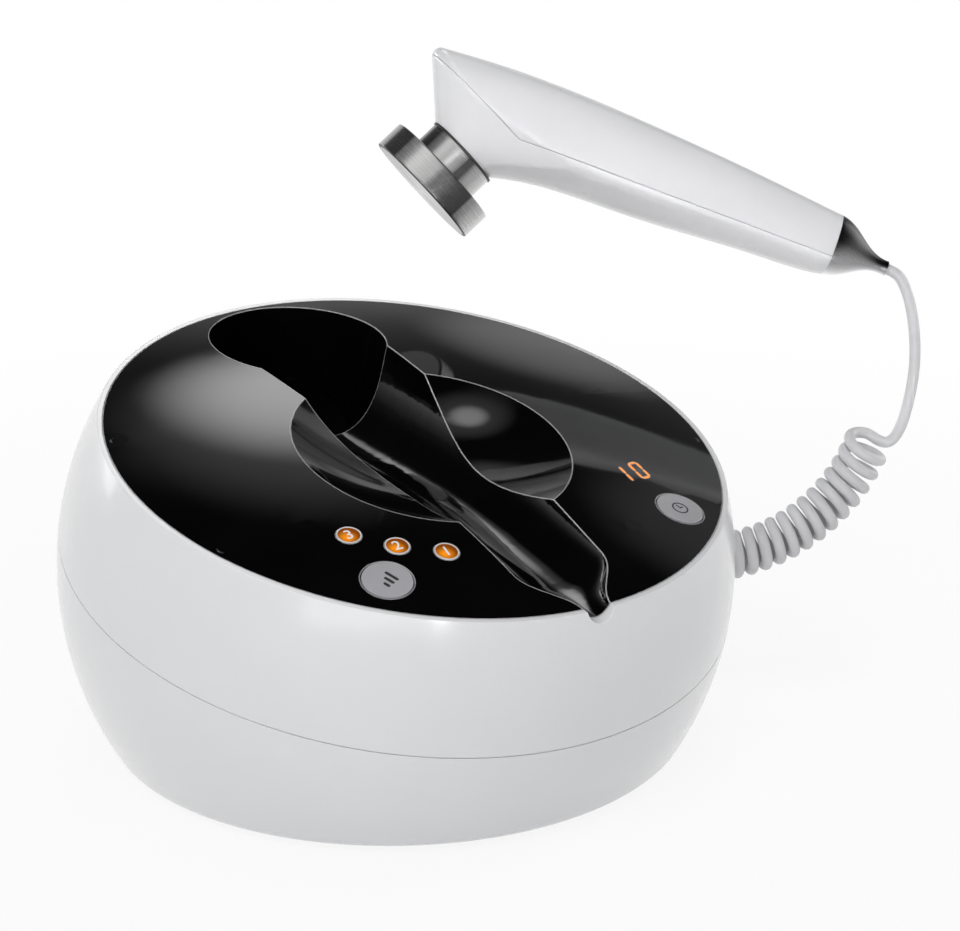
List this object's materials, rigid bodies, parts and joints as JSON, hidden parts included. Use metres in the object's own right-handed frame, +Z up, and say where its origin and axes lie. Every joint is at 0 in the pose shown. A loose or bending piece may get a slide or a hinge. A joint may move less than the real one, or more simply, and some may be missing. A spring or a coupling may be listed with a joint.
{
  "type": "radio frequency beauty machine",
  "caption": "Round white tabletop body with a sloping black deck, keys, lights and a moulded cradle, and a handpiece with a round metal electrode on a curly cord.",
  "frame": {"origin": "on the table, under the centre of the round body", "axes": "+Z up, +Y to the back where the power socket is, +X to the right where the curly cord leaves"},
  "size_m": [0.3212, 0.236, 0.2282],
  "materials": {
    "white_shell": "smooth white gloss moulding",
    "black_panel": "polished near-black",
    "key_grey": "satin grey with a fine bright edge",
    "dark_plastic": "fine-grained dark moulding",
    "amber_light": "translucent amber, lit",
    "white_rim": "bright white",
    "foot_rubber": "matt soft rubber",
    "screw_steel": "zinc plated",
    "circuit_board": "green solder mask",
    "core_iron": "varnished laminations",
    "copper_winding": "enamelled wire",
    "sink_aluminium": "extruded",
    "capacitor_can": "sleeved can",
    "cable_grey": "flexible sheath",
    "cord_grey": "light grey flexible sheath",
    "electrode_steel": "turned and brushed",
    "satin_metal": "satin"
  },
  "bodies": {
    "base": {"lower_shell": "white_shell", "upper_shell": "white_shell", "rubber_feet": "foot_rubber", "handpiece_dock_pad": "foot_rubber", "shell_screws": "screw_steel", "panel_screws": "screw_steel", "control_board_screws": "screw_steel", "main_board_screws": "screw_steel", "top_panel": "black_panel", "display_module": "black_panel", "level_switch": "dark_plastic", "time_switch": "dark_plastic", "main_relay": "dark_plastic", "rocker_housing": "dark_plastic", "power_inlet": "dark_plastic", "power_transistors": "dark_plastic", "indicator_lens_1": "amber_light", "indicator_lens_2": "amber_light", "indicator_lens_3": "amber_light", "display_digits": "amber_light", "indicator_bezels": "white_rim", "indicator_leds": "white_rim", "board_sockets": "white_rim", "level_board": "circuit_board", "time_board": "circuit_board", "main_board": "circuit_board", "power_transformer": "core_iron", "output_inductor": "copper_winding", "heat_sink": "sink_aluminium", "capacitors": "capacitor_can", "panel_cable": "cable_grey", "handpiece_cable": "cable_grey", "cord_gland": "cord_grey", "cord_coil": "cord_grey", "cord_lead": "cord_grey"},
    "level_key": {"level_button": "key_grey", "level_plunger": "dark_plastic"},
    "time_key": {"time_button": "key_grey", "time_plunger": "dark_plastic"},
    "rocker": {"power_rocker": "dark_plastic"},
    "handpiece": {"handpiece_upper_shell": "white_shell", "handpiece_lower_shell": "white_shell", "handpiece_screws": "screw_steel", "handpiece_screw_plugs": "white_shell", "handpiece_board": "circuit_board", "handpiece_wire": "cable_grey", "insulator_ring": "dark_plastic", "electrode_neck": "electrode_steel", "electrode_disc": "electrode_steel", "tail_cone": "satin_metal"}
  },
  "joints": [
    {"name": "level_button_press", "type": "slide", "parent": "base", "child": "level_key", "axis": [0, 0.2588, -0.9659], "range_m": [0, 0.001], "stiffness_N_per_m": 1500, "springref_m": -0.0002},
    {"name": "time_button_press", "type": "slide", "parent": "base", "child": "time_key", "axis": [0, 0.2588, -0.9659], "range_m": [0, 0.001], "stiffness_N_per_m": 1500, "springref_m": -0.0002},
    {"name": "power_rocker_tilt", "type": "hinge", "parent": "base", "child": "rocker", "pos_m": [-0.02, 0.104, 0.031], "axis": [1, 0, 0], "range_deg": [0, 14]},
    {"name": "handpiece_lift", "type": "slide", "parent": "base", "child": "handpiece", "axis": [0, 0, 1], "range_m": [-0.015, 0.15], "deforming": ["cord_coil", "cord_lead"]}
  ]
}
